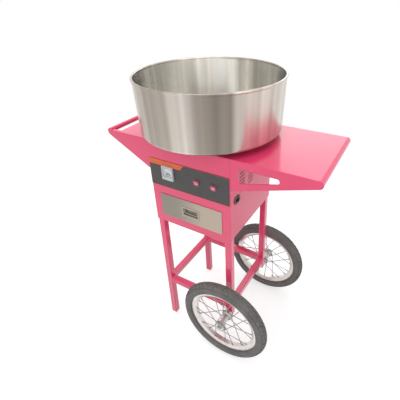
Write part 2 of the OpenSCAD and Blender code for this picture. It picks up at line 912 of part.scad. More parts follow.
// A lacing point on the hub or the rim
function at(r, a, z) = [r * cos(a), r * sin(a), z];
lace_turn = 4 * 360 / spoke_n;
spoke_seat = 4;

function lean(k) = k % 2 == 0 ? 1 : -1;
function hub_turn(k, s) = k * 720 / spoke_n + (s > 0 ? 0 : 360 / spoke_n);
function hub_end(k, s) = at(lace_r, hub_turn(k, s),
  s * (flange_z + lean(k) * (flange_t / 2 + spoke_d / 2 + (lean(k) > 0 ? lace_out : lace_in))));
function rim_end(k, s, r) = at(r, hub_turn(k, s) + lean(k) * lace_turn, s * spoke_seat);
function toward(a, b, d) = b + d * (b - a) / norm(b - a);

// Every spoke runs from one flange of the hub to the rim, and its neighbour leans the other way
module each_spoke() {
  for (s = [-1, 1], k = [0:spoke_n / 2 - 1]) {
    $a = hub_end(k, s);
    $b = rim_end(k, s, rim_base);
    $in = [0, 0, -s * lean(k)];
    $reach = flange_t + spoke_d / 2 + (lean(k) > 0 ? lace_out : lace_in);
    children();
  }
}

module rim() color(bright)
  difference() {
    rotate([0, 0, 180 / spoke_n])
      rotate_extrude($fn = 128)
        polygon([[rim_r, rim_w / 2], [rim_r, rim_w / 2 - 2], [rim_r - 9, rim_w / 2 - 2],
          [rim_r - 16, rim_w / 2 - 6.5], [rim_r - 16, -rim_w / 2 + 6.5], [rim_r - 9, -rim_w / 2 + 2],
          [rim_r, -rim_w / 2 + 2], [rim_r, -rim_w / 2], [rim_r - 10, -rim_w / 2], [rim_base, -rim_w / 2 + 5.5],
          [rim_base, rim_w / 2 - 5.5], [rim_r - 10, rim_w / 2]]);
    each_spoke()
      rod(toward($a, $b, -8), toward($a, $b, 9), nipple_d + 2 * hole_fit);
  }

// Spokes with their bent ends through the flanges and the nipples in the rim
module spokes() color(bright)
  each_spoke() {
    rod($a, toward($a, $b, 2), spoke_d);
    rod(toward($a, $b, -9), toward($a, $b, 5), nipple_d);
    translate($a)
      sphere(d = spoke_d + 0.4, $fn = 24);
    rod($a, $a + ($reach + 0.5) * $in, spoke_d);
    rod($a + ($reach + 0.1) * $in, $a + ($reach + 1.4) * $in, 1.7 * spoke_d);
  }

module hub() color(steel)
  difference() {
    rotate([0, 0, 180 / spoke_n])
      rotate_extrude()
        polygon([[8, -hub_w / 2], [boss_r, -hub_w / 2], [boss_r, -flange_z - flange_t / 2],
          [flange_r, -flange_z - flange_t / 2], [flange_r, -flange_z + flange_t / 2],
          [boss_r - 1, -flange_z + flange_t / 2], [barrel_r, -flange_z + 6], [barrel_r, flange_z - 6],
          [boss_r - 1, flange_z - flange_t / 2], [flange_r, flange_z - flange_t / 2],
          [flange_r, flange_z + flange_t / 2], [boss_r, flange_z + flange_t / 2], [boss_r, hub_w / 2],
          [8, hub_w / 2]]);
    for (s = [-1, 1])
      translate([0, 0, s * hub_w / 2])
        cylinder(d = bear_d, h = 2 * bear_w, center = true);
    each_spoke()
      translate([$a[0], $a[1], -hub_w])
        cylinder(d = spoke_d + 2 * hole_fit, h = 2 * hub_w, $fn = 16);
  }

module bearings() color(bright)
  for (s = [-1, 1])
    translate([0, 0, s * (hub_w - bear_w) / 2])
      difference() {
        cylinder(d = bear_d, h = bear_w, center = true);
        cylinder(d = axle_d + 2 * run_fit, h = bear_w + 2, center = true);
        for (e = [-1, 1])
          translate([0, 0, e * bear_w / 2])
            difference() {
              cylinder(d = bear_d - 6, h = 1.2, center = true);
              cylinder(d = axle_d + 6, h = 3, center = true);
            }
      }

// Stub axles bolted through the posts: a collar outside, a nut inside and one on the outer end
module stub_axles() color(steel)
  for (side = [-1, 1])
    at_wheel(side) {
      translate([0, 0, inner_z - 14])
        cylinder(d = axle_d, h = hub_w / 2 + 12 - inner_z + 14);
      translate([0, 0, face_z])
        cylinder(d = 2 * axle_d, h = -hub_w / 2 - slide_gap - face_z);
    }

module nut(z0, z1) {
  translate([0, 0, z0])
    difference() {
      cylinder(d = 1.75 * axle_d, h = z1 - z0, $fn = 6);
      translate([0, 0, -over])
        cylinder(d = axle_d, h = z1 - z0 + 2 * over);
    }
}

module washer(z0, z1) {
  translate([0, 0, z0])
    difference() {
      cylinder(d = 1.9 * axle_d, h = z1 - z0);
      translate([0, 0, -over])
        cylinder(d = axle_d, h = z1 - z0 + 2 * over);
    }
}

module axle_nuts() color(steel)
  for (side = [-1, 1])
    at_wheel(side) {
      z = hub_w / 2 + slide_gap;
      washer(z, z + 1.5);
      nut(z + 1.5, z + 9.5);
      washer(inner_z - 1.5, inner_z);
      nut(inner_z - 9.5, inner_z - 1.5);
    }

module front_tyre() at_wheel(-1) tyre();
module front_rim() at_wheel(-1) rim();
module front_spokes() at_wheel(-1) spokes();
module front_hub() at_wheel(-1) hub();
module front_bearings() at_wheel(-1) bearings();
module rear_tyre() at_wheel(1) tyre();
module rear_rim() at_wheel(1) rim();
module rear_spokes() at_wheel(1) spokes();
module rear_hub() at_wheel(1) hub();
module rear_bearings() at_wheel(1) bearings();

leg_front_left();
leg_rear_left();
post_front_right();
post_rear_right();
lower_rail_front();
lower_rail_rear();
lower_rail_left();
lower_rail_right();
upper_rail_front();
upper_rail_rear();
leg_feet();
front_panel();
left_side_panel();
right_side_panel();
rear_panel();
floor_panel();
deck_plate();
left_wing();
right_wing();
push_handle();
control_panel();
meter_case();
meter_window();
meter_needle();
switch_housings();
power_rocker();
heat_rocker();
power_inlet();
motor();
motor_bracket();
brush_holder();
brushes();
drawer_runners();
drawer_front();
drawer_tray();
pull_plate();
pull_bail();
bowl_seat();
bowl();
drive_shaft();
slip_rings();
spinner_pan();
heater();
spinner_screen();
spinner_cap();
bolts();
panel_screws();
stub_axles();
axle_nuts();
front_tyre();
front_rim();
front_spokes();
front_hub();
front_bearings();
rear_tyre();
rear_rim();
rear_spokes();
rear_hub();
rear_bearings();
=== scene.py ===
import json
import math

import bmesh
import bpy
from mathutils import Matrix, Vector


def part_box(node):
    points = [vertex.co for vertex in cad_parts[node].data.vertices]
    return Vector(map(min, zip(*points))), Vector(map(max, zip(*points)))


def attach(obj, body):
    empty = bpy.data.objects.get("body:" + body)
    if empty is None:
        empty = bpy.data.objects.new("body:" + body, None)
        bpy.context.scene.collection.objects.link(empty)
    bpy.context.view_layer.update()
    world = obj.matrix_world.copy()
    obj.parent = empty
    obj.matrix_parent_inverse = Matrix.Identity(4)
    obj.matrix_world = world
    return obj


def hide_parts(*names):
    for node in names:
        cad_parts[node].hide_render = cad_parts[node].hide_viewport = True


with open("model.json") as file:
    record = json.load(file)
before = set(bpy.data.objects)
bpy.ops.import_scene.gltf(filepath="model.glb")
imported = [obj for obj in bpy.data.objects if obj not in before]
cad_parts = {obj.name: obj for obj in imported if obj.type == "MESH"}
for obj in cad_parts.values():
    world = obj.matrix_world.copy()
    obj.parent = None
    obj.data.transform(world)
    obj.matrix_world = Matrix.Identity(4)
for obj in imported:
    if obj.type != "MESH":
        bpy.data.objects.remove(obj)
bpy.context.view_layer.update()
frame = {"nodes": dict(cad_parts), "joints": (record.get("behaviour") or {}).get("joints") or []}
cartNodes = frame["nodes"]
bowlAxis = Vector((-0.048, 0, 0.864))  # bowl and spinner turn about this line, at the worktop's height
print("frame loaded:", len(cartNodes), "nodes")


# small helpers for materials

def newFinish(name, **sockets):
    mat = bpy.data.materials.new(name)
    mat.use_nodes = True
    tree = mat.node_tree
    shader = tree.nodes["Principled BSDF"]
    for key, value in sockets.items():
        shader.inputs[key.replace("_", " ")].default_value = value
    return mat, tree, shader


def addNode(tree, kind, **values):
    node = tree.nodes.new("ShaderNode" + kind)
    for key, value in values.items():
        if key in node.inputs:
            node.inputs[key].default_value = value
        else:
            setattr(node, key, value)
    return node


def solve(tree, kind, operation, first, second=None):
    # one math node: a socket is linked, a number or a vector is set
    node = addNode(tree, kind, operation=operation)
    for place, value in enumerate((first, second)):
        if isinstance(value, bpy.types.NodeSocket):
            tree.links.new(value, node.inputs[place])
        elif value is not None:
            node.inputs[place].default_value = value
    return node.outputs["Value" if kind == "Math" or operation == "LENGTH" else "Vector"]


def splitPlace(tree, place):
    parts = addNode(tree, "SeparateXYZ")
    tree.links.new(place, parts.inputs[0])
    return parts.outputs


def placeCoord(tree, stretch=(1, 1, 1)):
    coord = addNode(tree, "TexCoord")
    mapping = addNode(tree, "Mapping", Scale=stretch)
    tree.links.new(coord.outputs["Object"], mapping.inputs["Vector"])
    return mapping.outputs["Vector"]


def noiseFrom(tree, vector, scale, detail=3.0, rough=0.5):
    noise = addNode(tree, "TexNoise", Scale=scale, Detail=detail, Roughness=rough)
    tree.links.new(vector, noise.inputs["Vector"])
    return noise.outputs["Fac"]


def ramp(tree, source, stops):
    node = addNode(tree, "ValToRGB")
    bar = node.color_ramp.elements
    while len(bar) < len(stops):
        bar.new(0.5)
    for element, (at, colour) in zip(bar, stops):
        element.position = at
        element.color = (*colour, 1)
    tree.links.new(source, node.inputs["Fac"])
    return node.outputs["Color"]


def rescale(tree, source, low, high, start=0.0, end=1.0, blend="LINEAR"):
    node = addNode(tree, "MapRange", interpolation_type=blend)
    for key, value in (("From Min", start), ("From Max", end), ("To Min", low), ("To Max", high)):
        node.inputs[key].default_value = value
    tree.links.new(source, node.inputs["Value"])
    return node.outputs["Result"]


def bumpFrom(tree, shader, source, depth, strength, socket="Normal"):
    bump = addNode(tree, "Bump", Strength=strength, Distance=depth)
    tree.links.new(source, bump.inputs["Height"])
    tree.links.new(bump.outputs["Normal"], shader.inputs[socket])
    return bump


toneSpan = (0.3, 0.7)  # part of a noise's range over which the dim tone turns into the pale one


def twoTone(tree, shader, source, pale, dim, span=toneSpan):
    tree.links.new(ramp(tree, source, [(span[0], dim), (span[1], pale)]), shader.inputs["Base Color"])


def varyRough(tree, shader, source, low, high):
    tree.links.new(rescale(tree, source, low, high), shader.inputs["Roughness"])


# finishes

paintLook = {"light": (0.78, 0.052, 0.155), "deep": (0.70, 0.038, 0.128), "span": (0.25, 0.75), "cloud": 5.0,
             "rough": 0.34, "roughSpan": (0.28, 0.42), "grain": 60.0,
             "sideCoat": 0.5, "coatRough": 0.06, "coatIor": 1.5, "gloss": 0.25,
             "peel": 520, "peelDepth": 0.00005, "peelStrength": 0.6,
             "tubeEdge": 0.0012, "sheetEdge": 0.0032, "edgeSamples": 4}


def pinkPaint(name, edgeRadius, coat=1.0):
    s = paintLook
    mat, tree, shader = newFinish(name, Roughness=s["rough"], Coat_Weight=coat, Coat_Roughness=s["coatRough"],
                                  Coat_IOR=s["coatIor"], Specular_IOR_Level=s["gloss"])
    here = placeCoord(tree)
    twoTone(tree, shader, noiseFrom(tree, here, s["cloud"], detail=4.0), s["light"], s["deep"], s["span"])
    varyRough(tree, shader, noiseFrom(tree, here, s["grain"]), *s["roughSpan"])
    edge = addNode(tree, "Bevel", samples=s["edgeSamples"], Radius=edgeRadius)
    tree.links.new(edge.outputs["Normal"], shader.inputs["Normal"])
    skin = noiseFrom(tree, here, s["peel"], detail=2.0)
    peel = bumpFrom(tree, shader, skin, s["peelDepth"], s["peelStrength"], "Coat Normal")
    tree.links.new(edge.outputs["Normal"], peel.inputs["Normal"])
    return mat


# outer and inner: painted reflections as broad bands (degrees round the axis, level), under painted streaks
# of noise
# tint: what a band loses in green, what a bright one gets back of it, and the same for blue
bowlLook = {
    "outer": [(-180, 0.5), (-90, 0.4), (-75, 0.75), (-65, 0.3), (-45, 0.25), (-40, 0.6), (0, 0.65),
              (20, 0.5), (180, 0.5)],
    "inner": [(-180, 0.65), (-120, 1.0), (50, 1.0), (75, 0.6), (95, 0.6), (105, 1.0), (130, 0.9),
              (145, 0.5), (180, 0.65)],
    "streakTurn": 8.0, "streakDepth": 0.18,
    "tint": {"outer": (0.172, 0.126, 0.322, 0.218), "inner": (0.065, 0.05, 0.175, 0.11)},
    "lines": 1300, "lineTurn": 1.4, "lineDepth": 0.06, "bumpDepth": 0.00001, "bumpStrength": 0.05,
    "rough": 0.25, "roughSpan": (0.23, 0.27), "stretch": 0.85, "stretchTurn": 0.25,
}


def paintedReflectionTone(level, tint):
    # painted reflection bands: dark bands are warmer than bright ones
    greenLoss, greenGain, blueLoss, blueGain = tint
    return (level, level * (1 - greenLoss + greenGain * level), level * (1 - blueLoss + blueGain * level))


def fromAxis(tree):
    coord = addNode(tree, "TexCoord")
    return solve(tree, "VectorMath", "SUBTRACT", coord.outputs["Object"], bowlAxis)


def spinLines(tree, place, lineScale, turnScale):
    # lineScale runs up a wall and along a radius, turnScale goes round, with no seam
    flat = solve(tree, "VectorMath", "MULTIPLY", place, (1, 1, 0))
    radius = solve(tree, "VectorMath", "LENGTH", flat)
    along = solve(tree, "Math", "ADD", radius, splitPlace(tree, place)["Z"])
    unit = solve(tree, "VectorMath", "NORMALIZE", flat)
    turn = splitPlace(tree, solve(tree, "VectorMath", "MULTIPLY", unit, (turnScale, turnScale, turnScale)))
    joined = addNode(tree, "CombineXYZ")
    tree.links.new(turn["X"], joined.inputs["X"])
    tree.links.new(turn["Y"], joined.inputs["Y"])
    tree.links.new(solve(tree, "Math", "MULTIPLY", along, lineScale), joined.inputs["Z"])
    return joined.outputs[0]


def turnShare(tree, place):
    # 0 to 1 round the axis, from half a turn behind +X
    parts = splitPlace(tree, place)
    angle = solve(tree, "Math", "ARCTAN2", parts["Y"], parts["X"])
    return rescale(tree, angle, 0.0, 1.0, -math.pi, math.pi)


def spunSteel(name, side):
    # the highlight is drawn out across the spinning lines, so a quarter turn from the tangent round the axis
    s = bowlLook
    mat, tree, shader = newFinish(name, Metallic=1.0, Roughness=s["rough"], Anisotropic=s["stretch"],
                                  Anisotropic_Rotation=s["stretchTurn"])
    place = fromAxis(tree)
    fine = noiseFrom(tree, spinLines(tree, place, s["lines"], s["lineTurn"]), 1.0, detail=2.0)
    # painted reflections: the banded stops and these streaks pale and darken the base colour round the bowl,
    # over the real spinning lines
    paintedStreaks = noiseFrom(tree, spinLines(tree, place, 0.0, s["streakTurn"]), 1.0, detail=1.0)
    stops = [(turn / 360 + 0.5, paintedReflectionTone(level, s["tint"][side])) for turn, level in s[side]]
    shades = solve(tree, "Math", "MULTIPLY", rescale(tree, fine, 1 - s["lineDepth"], 1 + s["lineDepth"]),
                   rescale(tree, paintedStreaks, 1 - s["streakDepth"], 1 + s["streakDepth"], *toneSpan))
    linesAndPaintedReflections = addNode(tree, "Mix", data_type="RGBA", blend_type="MULTIPLY", Factor=1.0)
    tree.links.new(ramp(tree, turnShare(tree, place), stops), linesAndPaintedReflections.inputs["A"])
    tree.links.new(shades, linesAndPaintedReflections.inputs["B"])
    tree.links.new(linesAndPaintedReflections.outputs["Result"], shader.inputs["Base Color"])
    varyRough(tree, shader, fine, *s["roughSpan"])
    tangent = addNode(tree, "Tangent", direction_type="RADIAL", axis="Z")
    tree.links.new(tangent.outputs["Tangent"], shader.inputs["Tangent"])
    bumpFrom(tree, shader, fine, s["bumpDepth"], s["bumpStrength"])
    return mat


brushLook = {"rough": 0.3, "roughSpan": (0.24, 0.4), "broad": 9.0, "broadShare": 0.45, "paintedShadeShare": 0.78,
             "depth": 0.00003, "strength": 0.3}


def brushedSteel(name, pale, dim, stretch, fade=None):
    # straight brush lines: the stretch is small along the lines and large across them
    # with fade, painted shade: the sheet goes from dim to pale between two places along X
    s = brushLook
    mat, tree, shader = newFinish(name, Metallic=1.0, Roughness=s["rough"])
    fine = noiseFrom(tree, placeCoord(tree, stretch), 1.0, rough=0.6)
    if fade:
        broad = rescale(tree, splitPlace(tree, placeCoord(tree))["X"], *toneSpan, *fade, "SMOOTHSTEP")
    else:
        broad = noiseFrom(tree, placeCoord(tree), s["broad"], detail=2.0)
    mixed = addNode(tree, "Mix", data_type="FLOAT", Factor=s["paintedShadeShare"] if fade else s["broadShare"])
    tree.links.new(fine, mixed.inputs["A"])
    tree.links.new(broad, mixed.inputs["B"])
    twoTone(tree, shader, mixed.outputs["Result"], pale, dim)
    varyRough(tree, shader, fine, *s["roughSpan"])
    bumpFrom(tree, shader, fine, s["depth"], s["strength"])
    return mat


metalLook = {"spread": (0.75, 1.25), "fineGrain": 4, "strength": 0.3}


def plainMetal(name, pale, dim, rough, grain, metallic=1.0, depth=0.00004):
    s = metalLook
    mat, tree, shader = newFinish(name, Metallic=metallic, Roughness=rough)
    here = placeCoord(tree)
    spots = noiseFrom(tree, here, grain, detail=4.0, rough=0.6)
    twoTone(tree, shader, spots, pale, dim)
    varyRough(tree, shader, spots, *(rough * share for share in s["spread"]))
    bumpFrom(tree, shader, noiseFrom(tree, here, grain * s["fineGrain"], detail=2.0), depth, s["strength"])
    return mat


plasticLook = {"cloud": 40.0, "sheen": 220.0, "spread": (0.8, 1.2), "depth": 0.00003, "strength": 0.4}


def mouldedPlastic(name, pale, dim, rough, grain=900.0, **sockets):
    s = plasticLook
    mat, tree, shader = newFinish(name, Roughness=rough, **sockets)
    here = placeCoord(tree)
    twoTone(tree, shader, noiseFrom(tree, here, s["cloud"]), pale, dim)
    varyRough(tree, shader, noiseFrom(tree, here, s["sheen"]), *(rough * share for share in s["spread"]))
    bumpFrom(tree, shader, noiseFrom(tree, here, grain, detail=2.0), s["depth"], s["strength"])
    return mat


windowLook = {"colour": (0.96, 0.97, 0.98, 1), "alpha": 0.1, "rough": 0.04, "roughSpan": (0.02, 0.06),
              "smear": 30.0}


def clearWindow(name):
    s = windowLook
    mat, tree, shader = newFinish(name, Base_Color=s["colour"], Roughness=s["rough"], Alpha=s["alpha"])
    varyRough(tree, shader, noiseFrom(tree, placeCoord(tree), s["smear"]), *s["roughSpan"])
    return mat


rubberLook = {"pale": (0.168, 0.161, 0.153), "dim": (0.115, 0.111, 0.106), "dust": 26.0, "gloss": 0.35,
              "rough": 0.62, "roughSpan": (0.52, 0.74), "wear": 90.0,
              "grain": 1300.0, "depth": 0.0001, "strength": 0.4}


def tyreRubber(name):
    s = rubberLook
    mat, tree, shader = newFinish(name, Roughness=s["rough"], Specular_IOR_Level=s["gloss"])
    here = placeCoord(tree)
    twoTone(tree, shader, noiseFrom(tree, here, s["dust"], detail=5.0, rough=0.65), s["pale"], s["dim"])
    varyRough(tree, shader, noiseFrom(tree, here, s["wear"]), *s["roughSpan"])
    bumpFrom(tree, shader, noiseFrom(tree, here, s["grain"], detail=2.0), s["depth"], s["strength"])
    return mat


pink = pinkPaint("pinkPaint", paintLook["tubeEdge"])
pinkSheet = pinkPaint("pinkSheetPaint", paintLook["sheetEdge"])
pinkSide = pinkPaint("pinkSidePaint", paintLook["sheetEdge"], paintLook["sideCoat"])
spun = spunSteel("spunSteel", "outer")
spunInside = spunSteel("spunSteelInside", "inner")
# drawer front: painted shade, darker at the left and paler at the right
drawerSteel = brushedSteel("drawerSteel", (0.44, 0.365, 0.30), (0.235, 0.218, 0.19), (30, 900, 1800),
                           fade=(-0.13, 0.02))
traySteel = brushedSteel("traySteel", (0.66, 0.64, 0.61), (0.50, 0.485, 0.46), (500, 12, 500))
# for the next ones: pale colour, dim colour, roughness, grain
pullSteel = plainMetal("pullSteel", (0.47, 0.42, 0.355), (0.37, 0.33, 0.28), 0.45, 120.0, metallic=0.55)
bailSteel = plainMetal("bailSteel", (0.36, 0.315, 0.265), (0.27, 0.24, 0.20), 0.4, 120.0, metallic=0.7)
spokeWire = plainMetal("spokeWire", (0.40, 0.39, 0.38), (0.30, 0.29, 0.285), 0.3, 60.0)
alloyRim = plainMetal("alloyRim", (0.76, 0.715, 0.69), (0.62, 0.58, 0.56), 0.3, 45.0)
zinc = plainMetal("zincPlate", (0.70, 0.70, 0.69), (0.52, 0.52, 0.515), 0.34, 220.0)
castAlloy = plainMetal("castAlloy", (0.70, 0.69, 0.67), (0.55, 0.54, 0.525), 0.42, 320.0, depth=0.00009)
brass = plainMetal("brassRing", (0.74, 0.52, 0.22), (0.58, 0.38, 0.14), 0.32, 160.0)
panelFilm = mouldedPlastic("panelFilm", (0.057, 0.050, 0.051), (0.046, 0.041, 0.042), 0.45, 1500.0)
lineFilm = mouldedPlastic("lineFilm", (0.42, 0.085, 0.03), (0.34, 0.065, 0.024), 0.4, 1500.0)
stripFilm = mouldedPlastic("stripFilm", (0.74, 0.135, 0.038), (0.64, 0.105, 0.028), 0.38, 1500.0)
meterGrey = mouldedPlastic("meterGrey", (0.56, 0.57, 0.585), (0.48, 0.49, 0.50), 0.3)
dialCard = mouldedPlastic("dialCard", (0.70, 0.72, 0.74), (0.62, 0.64, 0.66), 0.5)
blackPlastic = mouldedPlastic("blackPlastic", (0.036, 0.036, 0.035), (0.024, 0.024, 0.024), 0.36)
needleGrey = mouldedPlastic("needleGrey", (0.26, 0.26, 0.265), (0.21, 0.21, 0.215), 0.4)
# switch housings: a paler, redder plastic than the panel, painted light that offsets the shade round each
# rocker
paintedLightBezel = mouldedPlastic("paintedLightBezel", (0.20, 0.085, 0.10), (0.165, 0.07, 0.083), 0.42)
inletPlastic = mouldedPlastic("inletPlastic", (0.085, 0.088, 0.08), (0.062, 0.065, 0.06), 0.5)
redPlastic = mouldedPlastic("redPlastic", (0.56, 0.03, 0.105), (0.46, 0.022, 0.085), 0.2,
                            Coat_Weight=1.0, Coat_Roughness=0.1)
# pale pink of the rocker bars: a painted highlight
rockerHighlight = mouldedPlastic("rockerHighlight", (0.88, 0.44, 0.53), (0.80, 0.36, 0.46), 0.2,
                           Coat_Weight=1.0, Coat_Roughness=0.08)
phenolic = mouldedPlastic("phenolic", (0.16, 0.07, 0.035), (0.11, 0.045, 0.02), 0.45)
carbon = mouldedPlastic("carbonBlock", (0.05, 0.05, 0.055), (0.03, 0.03, 0.032), 0.6)
motorPaint = mouldedPlastic("motorPaint", (0.10, 0.105, 0.11), (0.07, 0.073, 0.078), 0.4, 700.0)
seatRubber = mouldedPlastic("seatRubber", (0.04, 0.04, 0.04), (0.025, 0.025, 0.025), 0.7)
windowClear = clearWindow("clearWindow")
tyre = tyreRubber("tyreRubber")
print("finishes made:", len(bpy.data.materials))

nodeFinish = {
    pink: "leg_front_left leg_rear_left post_front_right post_rear_right lower_rail_front lower_rail_rear "
          "lower_rail_left lower_rail_right upper_rail_front upper_rail_rear leg_feet push_handle",
    pinkSheet: "front_panel floor_panel deck_plate left_wing right_wing",
    pinkSide: "left_side_panel right_side_panel rear_panel",
    drawerSteel: "drawer_front",
    traySteel: "drawer_tray drawer_runners",
    spun: "bowl",
    pullSteel: "pull_plate",
    bailSteel: "pull_bail",
    spokeWire: "front_spokes rear_spokes",
    alloyRim: "front_rim rear_rim",
    zinc: "motor_bracket bolts panel_screws stub_axles axle_nuts drive_shaft front_bearings rear_bearings",
    castAlloy: "spinner_pan spinner_screen spinner_cap front_hub rear_hub",
    brass: "slip_rings heater",
    panelFilm: "control_panel",
    meterGrey: "meter_case",
    windowClear: "meter_window",
    needleGrey: "meter_needle",
    paintedLightBezel: "switch_housings",
    inletPlastic: "power_inlet",
    redPlastic: "power_rocker heat_rocker",
    phenolic: "brush_holder",
    carbon: "brushes",
    motorPaint: "motor",
    seatRubber: "bowl_seat",
    tyre: "front_tyre rear_tyre",
}
for look, names in nodeFinish.items():
    for name in names.split():
        cartNodes[name].data.materials.clear()
        cartNodes[name].data.materials.append(look)


# small helpers for pieces

def makePiece(name, bm, look, body, stands=(), sharp=32):
    bmesh.ops.recalc_face_normals(bm, faces=bm.faces)
    mesh = bpy.data.meshes.new(name)
    bm.to_mesh(mesh)
    bm.free()
    mesh.polygons.foreach_set("use_smooth", [True] * len(mesh.polygons))
    mesh.set_sharp_from_angle(angle=math.radians(sharp))
    mesh.materials.append(look)
    piece = bpy.data.objects.new(name, mesh)
    bpy.context.scene.collection.objects.link(piece)
    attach(piece, body)
    if stands:
        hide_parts(*stands)
    return piece


def arcPoints(centre, radius, start, end, steps):
    turns = [math.radians(start + (end - start) * k / steps) for k in range(steps + 1)]
    return [(centre[0] + radius * math.cos(a), centre[1] + radius * math.sin(a)) for a in turns]


def bridge(bm, first, second):
    for k in range(len(first)):
        j = (k + 1) % len(first)
        bm.faces.new((first[k], first[j], second[j], second[k]))


def lathe(bm, profile, turns, place):
    rings = []
    for k in range(turns):
        a = 2 * math.pi * k / turns
        spots = [place @ Vector((r * math.cos(a), r * math.sin(a), z)) for r, z in profile]
        rings.append([bm.verts.new(spot) for spot in spots])
    for k in range(turns):
        a, b = rings[k], rings[(k + 1) % turns]
        for i in range(len(profile)):
            j = (i + 1) % len(profile)
            bm.faces.new((a[i], b[i], b[j], a[j]))


def softBox(bm, low, high, radius=0.0):
    made = bmesh.ops.create_cube(bm, size=1.0)["verts"]
    low, high = Vector(low), Vector(high)
    for v in made:
        v.co = Vector(((low[k] + high[k]) / 2 + v.co[k] * (high[k] - low[k]) for k in range(3)))
    if radius > 0:
        edges = list({e for v in made for e in v.link_edges})
        bmesh.ops.bevel(bm, geom=edges, offset=radius, segments=3, affect="EDGES", profile=0.5)


def plateFrom(bm, outline, front, back):
    near = [bm.verts.new((x, front, z)) for x, z in outline]
    far = [bm.verts.new((x, back, z)) for x, z in outline]
    bm.faces.new(near)
    bm.faces.new(far)
    bridge(bm, near, far)


# bowl, spun from one sheet

bowlSet = {"floor": 0.883, "hole": 0.080, "lowRadius": 0.240, "topRadius": 0.246, "height": 0.185,
           "corner": 0.012, "cornerSteps": 10, "bead": 0.004, "beadTurn": (-85, 248), "beadSteps": 22,
           "sheet": 0.0015, "turns": 256}


def makeBowl():
    s = bowlSet
    knee = (s["lowRadius"] - s["corner"], s["corner"])
    lip = (s["topRadius"], s["height"] - s["bead"])
    outer = [(s["hole"], 0.0)]
    outer += arcPoints(knee, s["corner"], -90, 0, s["cornerSteps"])
    outer += arcPoints(lip, s["bead"], *s["beadTurn"], s["beadSteps"])
    inner = arcPoints(knee, s["corner"] - s["sheet"], 0, -90, s["cornerSteps"])
    inner += [(s["hole"], s["sheet"])]
    profile = outer + inner
    bm = bmesh.new()
    lathe(bm, profile, s["turns"], Matrix.Translation((bowlAxis.x, bowlAxis.y, s["floor"])))
    for k, face in enumerate(bm.faces):  # inside is from the bead's inner edge down to the hole
        face.material_index = 1 if len(outer) - 1 <= k % len(profile) < len(profile) - 1 else 0
    bowl = makePiece("spunBowl", bm, spun, "bowl", ["bowl"])
    bowl.data.materials.append(spunInside)


makeBowl()
print("bowl made")

# frame tubes with rounded corners, a weld bead where a rail meets a leg, and foot caps

tubeSet = {"corner": 0.003, "wall": 0.002, "cornerSteps": 5, "sideSteps": 8,
           "bead": (0.0022, 0.0017, 0.0011, 0.0004, 0.0), "beadStep": 0.0009,
           "ripple": 0.28, "ripplePace": 2.1,
           "footCut": 0.004, "footEdge": 0.0008, "footSoft": 0.0006, "footTop": 0.0004, "footCorner": 0.0027}
legNodes = "leg_front_left leg_rear_left post_front_right post_rear_right"
railNodes = ("lower_rail_front lower_rail_rear lower_rail_left lower_rail_right "
             "upper_rail_front upper_rail_rear")


def roundedSquare(half, corner):
    s = tubeSet
    flat = half - corner
    side = [(half, -flat + 2 * flat * k / s["sideSteps"]) for k in range(1, s["sideSteps"])]
    side += arcPoints((flat, flat), corner, 0, 90, s["cornerSteps"])
    turns = [math.pi / 2 * quarter for quarter in range(4)]
    return [(x * math.cos(a) - y * math.sin(a), x * math.sin(a) + y * math.cos(a))
            for a in turns for x, y in side]


def makeTube(node, welded):
    s = tubeSet
    low, high = (Vector(p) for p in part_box(node))
    size = high - low
    middle = (low + high) / 2
    half = min(size) / 2
    axis = max(range(3), key=lambda k: size[k])
    sides = [(axis + 1) % 3, (axis + 2) % 3]

    def ring(along, bead=0.0, wall=0.0):
        # the bead stands over the tube in small ripples, the wall takes the ring to the inside
        reach = half - wall + bead
        made = []
        for k, (u, v) in enumerate(roundedSquare(reach, s["corner"] + bead - wall / 2)):
            grow = 1 + bead * s["ripple"] * math.sin(s["ripplePace"] * k) / reach
            spot = Vector((0, 0, 0))
            spot[axis] = along
            spot[sides[0]] = middle[sides[0]] + u * grow
            spot[sides[1]] = middle[sides[1]] + v * grow
            made.append(bm.verts.new(spot))
        return made

    bm = bmesh.new()
    if welded:
        beads = list(enumerate(s["bead"]))
        outer = [ring(low[axis] + k * s["beadStep"], bead) for k, bead in beads]
        outer += [ring(high[axis] - k * s["beadStep"], bead) for k, bead in reversed(beads)]
    else:
        outer = [ring(along) for along in (low[axis], middle[axis], high[axis])]
    inner = [ring(along, wall=s["wall"]) for along in (low[axis], high[axis])]
    for first, second in zip(outer, outer[1:]):
        bridge(bm, first, second)
    bridge(bm, inner[0], inner[1])
    bridge(bm, outer[0], inner[0])
    bridge(bm, outer[-1], inner[1])
    words = node.split("_")
    name = words[0] + "".join(w.capitalize() for w in words[1:]) + "Tube"
    makePiece(name, bm, pink, "cart", [node])


def makeFeet():
    s = tubeSet
    cut, edge, soft = s["footCut"], s["footEdge"], s["footSoft"]
    low, high = (Vector(p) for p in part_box("leg_front_left"))
    half = (high.x - low.x) / 2
    x, y = (low.x + high.x) / 2, (low.y + high.y) / 2
    levels = [(half - cut - edge, 0.0), (half - cut, soft), (half - edge, cut - edge), (half, cut + soft),
              (half, low.z - soft), (half - s["footTop"], low.z)]
    bm = bmesh.new()
    for side in (y, -y):
        rings = []
        for reach, z in levels:
            outline = roundedSquare(reach, s["footCorner"])
            rings.append([bm.verts.new((x + u, side + v, z)) for u, v in outline])
        for first, second in zip(rings, rings[1:]):
            bridge(bm, first, second)
        bm.faces.new(rings[0])
        bm.faces.new(rings[-1])
    makePiece("footCaps", bm, pink, "cart", ["leg_feet"])


for node in legNodes.split():
    makeTube(node, False)
for node in railNodes.split():
    makeTube(node, True)
makeFeet()
print("frame tubes made")

# tyres: carcass with ribbed sidewalls, and rows of tread blocks
# ribs are (degrees from the crown, half width, height), rows are (from, to, shift, fill of the pitch)

